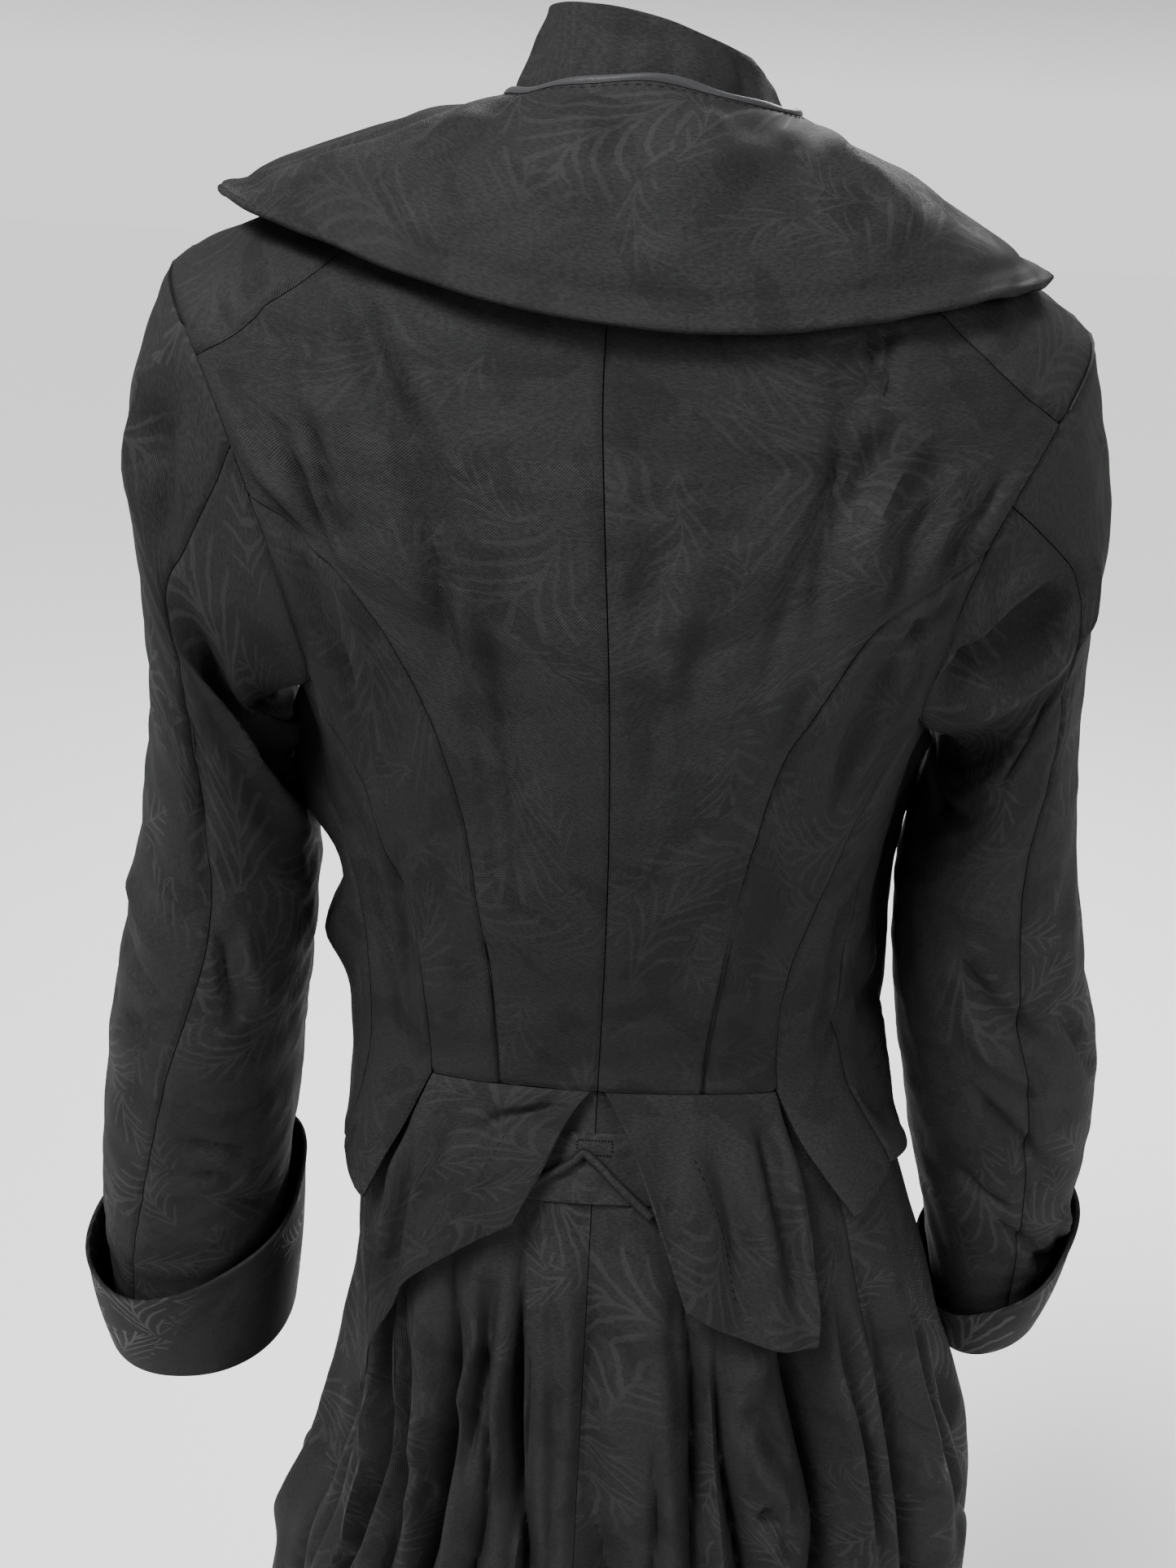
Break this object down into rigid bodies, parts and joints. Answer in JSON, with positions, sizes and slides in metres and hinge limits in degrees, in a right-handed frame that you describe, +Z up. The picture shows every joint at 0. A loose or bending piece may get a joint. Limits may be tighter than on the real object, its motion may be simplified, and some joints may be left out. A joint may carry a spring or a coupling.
{
  "type": "bustled coat",
  "caption": "Fitted worn coat with a stand and cape collar, two-piece sleeves with turned-back cuffs, peplum tails and a full skirt gathered over a bustle.",
  "frame": {"origin": "the middle of the neck opening at the root of the neck, where the wearer's neck and shoulders hold the coat", "axes": "+Z up, the wearer faces +Y, +X is the wearer's right and the right of someone looking at the back"},
  "size_m": [0.57, 0.3586, 1.2205],
  "materials": {
    "back_L": "figured twill",
    "back_R": "figured twill",
    "side_back_L": "figured twill",
    "side_back_R": "figured twill",
    "side_L": "figured twill",
    "side_R": "figured twill",
    "front_L": "figured twill",
    "front_R": "figured twill",
    "upper_sleeve_L": "figured twill",
    "upper_sleeve_R": "figured twill",
    "under_sleeve_L": "figured twill",
    "under_sleeve_R": "figured twill",
    "cuff_L": "figured twill",
    "cuff_R": "figured twill",
    "stand_collar": "figured twill",
    "cape_collar": "figured twill",
    "collar_binding": "satin",
    "peplum_L": "figured twill",
    "peplum_R": "figured twill",
    "bustle_tab": "figured twill",
    "loop_cord": "figured twill",
    "skirt_back_L": "figured twill",
    "skirt_back_R": "figured twill",
    "skirt_side_L": "figured twill",
    "skirt_side_R": "figured twill",
    "skirt_front_L": "figured twill",
    "skirt_front_R": "figured twill",
    "button_1": "figured twill",
    "button_2": "figured twill",
    "button_3": "figured twill",
    "button_4": "figured twill",
    "button_5": "figured twill"
  },
  "bodies": {
    "root": {"back_L": "back_L", "back_R": "back_R", "side_back_L": "side_back_L", "side_back_R": "side_back_R", "side_L": "side_L", "side_R": "side_R", "front_L": "front_L", "front_R": "front_R", "upper_sleeve_L": "upper_sleeve_L", "upper_sleeve_R": "upper_sleeve_R", "under_sleeve_L": "under_sleeve_L", "under_sleeve_R": "under_sleeve_R", "cuff_L": "cuff_L", "cuff_R": "cuff_R", "stand_collar": "stand_collar", "cape_collar": "cape_collar", "collar_binding": "collar_binding", "peplum_L": "peplum_L", "peplum_R": "peplum_R", "bustle_tab": "bustle_tab", "loop_cord": "loop_cord", "skirt_back_L": "skirt_back_L", "skirt_back_R": "skirt_back_R", "skirt_side_L": "skirt_side_L", "skirt_side_R": "skirt_side_R", "skirt_front_L": "skirt_front_L", "skirt_front_R": "skirt_front_R", "button_1": "button_1", "button_2": "button_2", "button_3": "button_3", "button_4": "button_4", "button_5": "button_5"}
  },
  "joints": []
}
